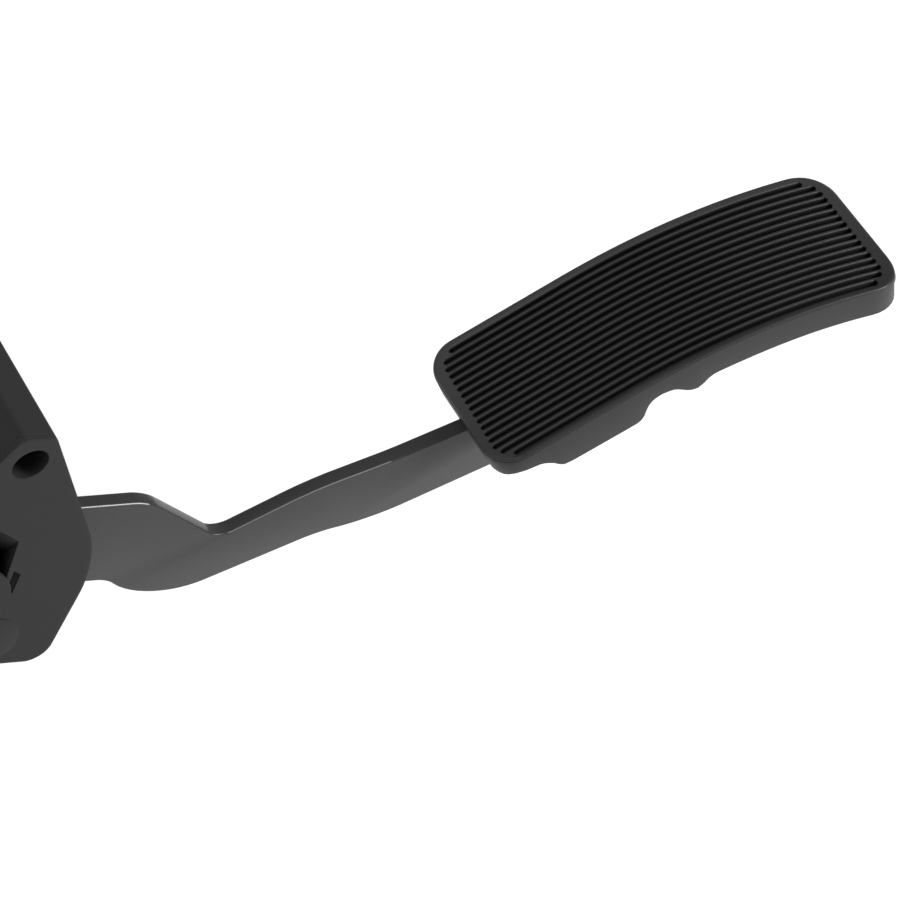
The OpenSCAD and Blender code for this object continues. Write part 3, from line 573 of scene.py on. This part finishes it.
# %% Foot pad
foot_x, foot_z, foot_radius, foot_rise, foot_thick, foot_edge = 11.5, 9.5, 13.3, 0.5, 0.7, 0.3
foot_lean, foot_sink = 0.35, 0.55
plate_verts = set(bm.verts)
foot_place = Matrix.Translation(Vector((foot_x, near_y - foot_rise, foot_z)) * MM)
foot = bmesh.ops.create_circle(
    bm, cap_ends=True, segments=96, radius=foot_radius * MM,
    matrix=foot_place @ Matrix.Rotation(math.pi / 2, 4, "X"))
foot_face = foot["verts"][0].link_faces[0]
extrude_faces(bm, [foot_face], (0, foot_thick, 0))
bmesh.ops.bevel(
    bm, geom=list(foot_face.edges), offset=foot_edge * MM, offset_type="OFFSET", affect="EDGES",
    segments=3, profile=0.5, material=-1, clamp_overlap=True)
for vert in [v for v in bm.verts if v not in plate_verts]:
    up_and_back = vert.co.z / MM - foot_z - (vert.co.x / MM - foot_x)
    raised = 0.5 + up_and_back * foot_lean / foot_radius
    vert.co.y += foot_sink * (1 - raised) * MM
    vert.co.z = max(0, vert.co.z)
place_piece(bm, "cover_plate", "housing_plastic", "housing", "side_cover")

# %% [markdown]
# The arm is a blade cut from steel plate. Its outline runs out of the housing, dips into a hump
# and climbs to the pad. The cut edges are tumbled, so they are slightly round. On two stretches
# of the top, a painted highlight runs along the middle of the near edge's rounding. A curve object
# could make the blade, but in a bmesh that one row of vertices can be picked out.

# %% Arm
arm_half, arm_round = 2.8, 0.8
root_half = 18.85
# Each stretch of painted highlight: where it starts, where it ends, and how bright it is
painted_highlight_stretches = [(-20, 71, 0.8), (112, 165, 0.3)]
arm_outline = [
    (-13, pivot_z - root_half, 6), (70.7, pivot_z - root_half, 12.7), (93.5, -1.2, 37),
    (150.5, 29.3, 50), (169.5, 33.8, 80), (221, 64.6, 20), (262, 118, 6), (258, 128.5, 5),
    (231.2, 112.6, 30), (201.3, 83, 60), (166.4, 63.9, 119), (138.2, 50.9, 98),
    (108.6, 30.4, 9.3), (70.9, pivot_z + root_half + 0.5, 22.5), (-13, pivot_z + root_half, 6)]
bm = bmesh.new()
blade = outline_face(bm, side_corners(arm_outline, -arm_half), steps=12)
extrude_faces(bm, [blade], (0, 2 * arm_half, 0))
soften(bm, arm_round, segments=4, angle=50)

middle_row = -arm_half + arm_round * (1 - math.cos(math.pi / 4))
edge = bm.verts.layers.float.new("edge")
bmesh.ops.recalc_face_normals(bm, faces=bm.faces)
bm.normal_update()
# Paints a highlight on the middle row of the near top edge's rounding
for vert in bm.verts:
    x, y = vert.co.x / MM, vert.co.y / MM
    if abs(y - middle_row) < 0.05 and vert.normal.z > 0:
        vert[edge] = sum(bright for start, end, bright in painted_highlight_stretches if start < x < end)
place_piece(bm, "arm_blade", "coated_steel", "pedal", "arm")

# %% [markdown]
# The pad is arched along its length and rounded at its corners. It is easier to model flat and to
# bend afterwards: flat, it has a length u, a width v and a height w over the tread's crest. The
# bend is a straight stretch and then one long arc. Blender's own bend modifier only knows an even
# arc, so a short function does it.

# %% The pad's bend
pad_start = Vector((185.35, 0, 81.48))
pad_slope = math.radians(42)
pad_flat = 54.4
pad_arc_radius = 196
pad_length = pad_flat + pad_arc_radius * math.radians(30)
pad_half = 28


def bend(point):
    """Takes a flat point (u, v, w), in metres, to its place on the bent pad."""
    u, v, w = (c / MM for c in point)
    angle = pad_slope - max(0, u - pad_flat) / pad_arc_radius
    along = min(u, pad_flat)
    x = along * math.cos(pad_slope) + pad_arc_radius * (math.sin(pad_slope) - math.sin(angle))
    z = along * math.sin(pad_slope) + pad_arc_radius * (math.cos(angle) - math.cos(pad_slope))
    over = Vector((x - w * math.sin(angle), v, z + w * math.cos(angle)))
    return (pad_start + over) * MM


print("pad length", round(pad_length, 1))

# %% [markdown]
# Seen from above, the pad is a rectangle whose two short ends lean a little. Both the rubber and
# its carrier follow this plan, so the helpers that read it come before either.

# %% The pad's plan
# Each end: its place u at the middle, its lean per mm of v, and its corner radius
pad_ends = {"low": (0, -0.9 / pad_half, 11.5), "high": (pad_length, -3.2 / pad_half, 12.5)}
end_creep = 0.02
flare_reach, flare_lean, flare_deepest = 30, 0.5, 8.4


def plan_end(v, end, inset):
    """Where the plan, moved inwards by inset, ends at width v."""
    middle, lean, radius = pad_ends[end]
    inward = 1 if end == "low" else -1
    beyond = max(0, abs(v) - (pad_half - radius))
    reach = math.sqrt(max(0, (radius - inset) ** 2 - beyond ** 2))
    return middle + lean * v + inward * (radius - reach + end_creep * inset)


def edge_distance(u, v):
    """How far a flat place lies inside the plan's outline."""
    best = pad_half - abs(v)
    for end, (middle, lean, radius) in pad_ends.items():
        if (u < pad_length / 2) != (end == "low"):
            continue
        inside = abs(u - middle - lean * v)
        beyond = abs(v) - (pad_half - radius)
        if inside < radius and beyond > 0:
            best = min(best, radius - math.hypot(radius - inside, beyond))
        best = min(best, inside)
    return best


def end_flare(u, w):
    """How far the far end's wall leans outwards at a flat place, w below the crest."""
    near = min(1, max(0, (u - pad_length + flare_reach) / flare_reach))
    return flare_lean * min(flare_deepest, max(0, -w)) * near * near * (3 - 2 * near)


print("the high end's middle lies at", round(pad_ends["high"][0], 1))

# %% [markdown]
# The rubber tread has fine ribs along it, with round crests and narrow grooves between them. Each
# groove's section is a few steps across. The rows of the grid follow those steps, so every ridge
# gets its own line of vertices. A displacement map would need far more faces for the same edge.

# %% Tread section
ledge = 0.3
tread_thick, edge_round = 2.5, 0.8
groove_count, groove_pitch, groove_depth, groove_shift = 17, 3, 2, -0.3
groove_half = 0.7
# Half a groove: the distance from its middle, and the height as a share of its depth
groove_side = [(0.62, -1), (0.8, -0.8), (0.9, -0.45), (0.96, -0.25), (1.06, -0.1), (1.22, -0.025)]
groove_section = [(-off, w) for off, w in reversed(groove_side)] + [(0, -1)] + groove_side
groove_centres = [
    (k - (groove_count - 1) / 2) * groove_pitch + groove_shift for k in range(groove_count)]
tread_half = pad_half - ledge
edge_steps = [0, 0.06, 0.2, 0.4, 0.8]
back_steps = [2.1, 1.5]
front_slope = [
    (1.1, 0), (1.6, -0.03), (2.1, -0.12), (2.5, -0.28), (2.75, -0.5), (3, -0.85), (3.15, -1)]
# Each row: its width v, its share of the groove depth, and the middle of the groove it belongs to
rows = [(d - tread_half, 0, d - tread_half) for d in edge_steps]
rows += [(d - tread_half, w, groove_centres[0]) for d, w in front_slope]
for k, centre in enumerate(groove_centres):
    for off, w in groove_section:
        if k > 0 or off >= 0:
            rows.append((centre + off, w, centre))
    rows.append((centre + groove_pitch / 2, 0, centre + groove_pitch / 2))
rows.pop()
rows += [(tread_half - d, 0, tread_half - d) for d in back_steps + edge_steps[::-1]]
print("rows across the tread:", len(rows))

# %% [markdown]
# Along the pad, the columns first follow the plan's rounded rim, then the round end of each
# groove, and then run in even steps to the other end. The outer grooves stop short, to clear the
# pad's round corners.

# %% Tread columns
near_end = edge_steps + [1.4]
groove_start = [-0.4, 0, 0.15, 0.35, 0.65, 1.6]
middle_columns, fully_begun = 72, 9
end_columns = len(near_end) + len(groove_start)
columns = 2 * end_columns + middle_columns
low_margin, high_margin, high_lean = 3.6, 4.8, 0.1
corner_from, corner_rate = 20, 1.2


def edge_drop(distance):
    """How far the rubber's rounded edge lies below the crest at that distance from the edge."""
    short = edge_round - max(0, min(distance, edge_round))
    return edge_round - math.sqrt(edge_round ** 2 - short ** 2)


def groove_end(v, end):
    """Where the groove at width v ends: the outer ones stop short for the pad's round corners."""
    corner = corner_rate * max(0, abs(v) - corner_from)
    if end == "low":
        return low_margin + corner
    return pad_length - high_margin - high_lean * v - corner


def column_place(column, v, w, centre):
    """The place u of a column in a row, and how far the groove has begun there."""
    round_end = 0
    if w:
        round_end = groove_half - math.sqrt(max(0, groove_half ** 2 - (v - centre) ** 2))
    low = groove_end(centre, "low") + round_end
    high = groove_end(centre, "high") - round_end
    from_end = min(column, columns - 1 - column)
    if from_end >= end_columns:
        first, final = low + groove_start[-1], high - groove_start[-1]
        share = (column - end_columns + 1) / (middle_columns + 1)
        return first + share * (final - first), fully_begun
    end = "low" if column < end_columns else "high"
    if from_end < len(near_end):
        return plan_end(v, end, near_end[from_end] + ledge), -1
    begun = groove_start[from_end - len(near_end)]
    return (low + begun if end == "low" else high - begun), begun


print("columns along the tread:", columns)

# %% [markdown]
# The tread is one grid, which is moved into shape vertex by vertex and then extruded down to its
# flat underside. The number "rim" is high on the plain rim and on the crests and low in the
# grooves, and the finish turns greyer by it. On the crests that grey is a painted highlight and in
# the grooves the dark is painted shade. The number also grows towards the pad's low end, where the
# lamp hardly reaches, which is painted light. The plain rim is greyer than the ribs anyway, and
# more so towards the back.

# %% Tread rubber
groove_ramp = 0.65
fade_near, fade_along = 1.05, 0.35
crest_highlight_grey, rim_grey, rim_lean = 0.45, 0.47, 0.2
ribs_from, ribs_to = groove_centres[0] - 0.6, groove_centres[-1] + 1
bm = bmesh.new()
bmesh.ops.create_grid(bm, x_segments=columns - 1, y_segments=len(rows) - 1, size=1)
rim_tone_and_painted_light = bm.verts.layers.float.new("rim")
for index, vert in enumerate(bm.verts):
    row, column = divmod(index, columns)
    v, groove, centre = rows[row]
    u, begun = column_place(column, v, groove, centre)
    drop = edge_drop(edge_distance(u, v) - ledge)
    depth = groove_depth * min(1, max(0, begun / groove_ramp)) ** 0.5
    vert.co = Vector((u, v, groove * depth - drop)) * MM
    # Painted highlight on the crests, painted shade in the grooves, painted light towards the low
    # end
    ribbed = begun > 0 and ribs_from < v < ribs_to
    fade = fade_near - fade_along * u / pad_length
    crest, rim = crest_highlight_grey * (1 + groove) ** 2, rim_grey + rim_lean * v / pad_half
    vert[rim_tone_and_painted_light] = fade * (crest if ribbed else rim)
underside = extrude_faces(bm, bm.faces[:], (0, 0, 0))
for vert in underside:
    vert.co.z = -tread_thick * MM
for vert in bm.verts:
    vert.co.x += end_flare(vert.co.x / MM, vert.co.z / MM) * MM
    vert.co = bend(vert.co)
place_piece(bm, "pad_tread", "tread_rubber", "pedal", "pad_cover", angle=60)

# %% [markdown]
# The carrier under the rubber is a moulded tray, open below to save weight. Its wall ends in a
# wavy line that clears the arm and the foot well. The line is read from a short table, which is
# easier to follow and to change than a curve object's handles.

# %% The carrier's wavy wall
# The wall's lower edge as (distance along the pad, depth below the crest)
skirt_line = [
    (-2, 10.3), (3, 9.8), (5.5, 8.7), (8, 7.9), (11.5, 8), (15.7, 9.1), (17.6, 10.6), (19.5, 12.7),
    (21.1, 15.3), (22.6, 16.7), (26, 17.2), (46, 17.6), (51, 17.6), (53.3, 16.7), (55.4, 13.4),
    (57.7, 10.5), (60.4, 9.4), (63, 9.2), (65.3, 9.6), (67.6, 10.3), (69.7, 11.9), (71.8, 14.2),
    (74, 15.8), (76.5, 16.3), (79.1, 15.3), (81.6, 13.5), (84.3, 12.8), (96.5, 12.9), (125, 12.7),
    (150, 12.9), (162, 12.4)]
skirt_extra = 0.25


def skirt_depth(u):
    """Depth of the wall's lower edge below the crest, read along skirt_line."""
    for (u0, d0), (u1, d1) in zip(skirt_line, skirt_line[1:]):
        if u <= u1:
            return skirt_extra + d0 + (d1 - d0) * min(1, max(0, (u - u0) / (u1 - u0)))
    return skirt_extra + skirt_line[-1][1]


print("places along the wavy wall:", len(skirt_line))

# %% [markdown]
# The tray is made flat too: a rounded plate is extruded down, its top is sunk to take the rubber,
# and its underside is inset and pushed up to leave a wall. Planes across it then cut the strips
# that the bend needs. A Subdivision modifier would round the plate's edges away.

# %% Pad carrier
skirt_wall, plate_low, flat_bottom, wall_foot = 2.4, 4.9, -12, 2
strip_step, strip_start, strip_margin = 1.5, -6, 14
lip_level, lip_wide, rubber_gap, tray_edge = -0.9, 1.3, 0.05, 0.45


def strips(bm, step):
    """Cuts a flat shape across its length so that it can bend."""
    for k in range(int((pad_length + strip_margin) / step)):
        everything = bm.verts[:] + bm.edges[:] + bm.faces[:]
        place = ((k * step + strip_start) * MM, 0, 0)
        bmesh.ops.bisect_plane(bm, geom=everything, plane_co=place, plane_no=(1, 0, 0))


plan = []
for end, side in (("low", -1), ("high", -1), ("high", 1), ("low", 1)):
    middle, lean, radius = pad_ends[end]
    plan.append(((middle + lean * side * pad_half, side * pad_half, lip_level), radius))
bm = bmesh.new()
plate = outline_face(bm, plan, steps=10)
extrude_faces(bm, [plate], (0, 0, flat_bottom - lip_level))
top = max(bm.faces, key=lambda f: f.calc_center_median().z)
bmesh.ops.inset_individual(bm, faces=[top], thickness=lip_wide * MM, depth=0)
extrude_faces(bm, [top], (0, 0, -tread_thick - rubber_gap - lip_level), sunk=True)
bottom = min(bm.faces, key=lambda f: f.calc_center_median().z)
bmesh.ops.inset_individual(bm, faces=[bottom], thickness=skirt_wall * MM, depth=0)
extrude_faces(bm, [bottom], (0, 0, -plate_low - flat_bottom), sunk=True)
soften(bm, tray_edge, segments=3, angle=60)
strips(bm, strip_step)
for vert in bm.verts:
    u, v, w = vert.co / MM
    u += end_flare(u, w)
    if w < flat_bottom + wall_foot:
        w -= skirt_depth(u) + flat_bottom
    vert.co = bend(Vector((u, v, w)) * MM)
print("tray's open edges:", sum(not e.is_manifold for e in bm.edges))

# %% [markdown]
# Two cheeks under the tray hold the arm between them, and the pad's screws go through all three.
# They are flat plates beside the arm. Their lower edge is straight, and their upper edge follows
# the bent tray, a little inside its plate. They are drawn in their final place, since only the
# tray has to bend.

# %% Cheeks of the carrier
cheek_thick, cheek_gap, cheek_bite = 2.6, 0.1, 0.3
cheek_stations = (96, 84, 72, 60, 48, 10)
cheek = [(196, 70, 3), (222, 82, 3), (262, 112, 4)]
for u in cheek_stations:
    top = bend(Vector((u, 0, cheek_bite - plate_low)) * MM) / MM
    cheek.append((top.x, top.z, 0))
for y in (arm_half + cheek_gap, -arm_half - cheek_gap - cheek_thick):
    extrude_faces(bm, [outline_face(bm, side_corners(cheek, y), steps=6)], (0, cheek_thick, 0))
place_piece(bm, "pad_tray", "carrier_plastic", "pedal", "pad_carrier")

# %% [markdown]
# When the pedal is pressed, the tail behind the pivot squeezes the two springs against their
# upper seat. They can't follow the joint as a rigid piece does. Here each spring only gets its own
# copy of its mesh.

# %% Springs
for name in ("outer_spring", "inner_spring"):
    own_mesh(frame["nodes"][name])

# %% [markdown]
# The last cell ends the script.

# %% End
print("scene ready")
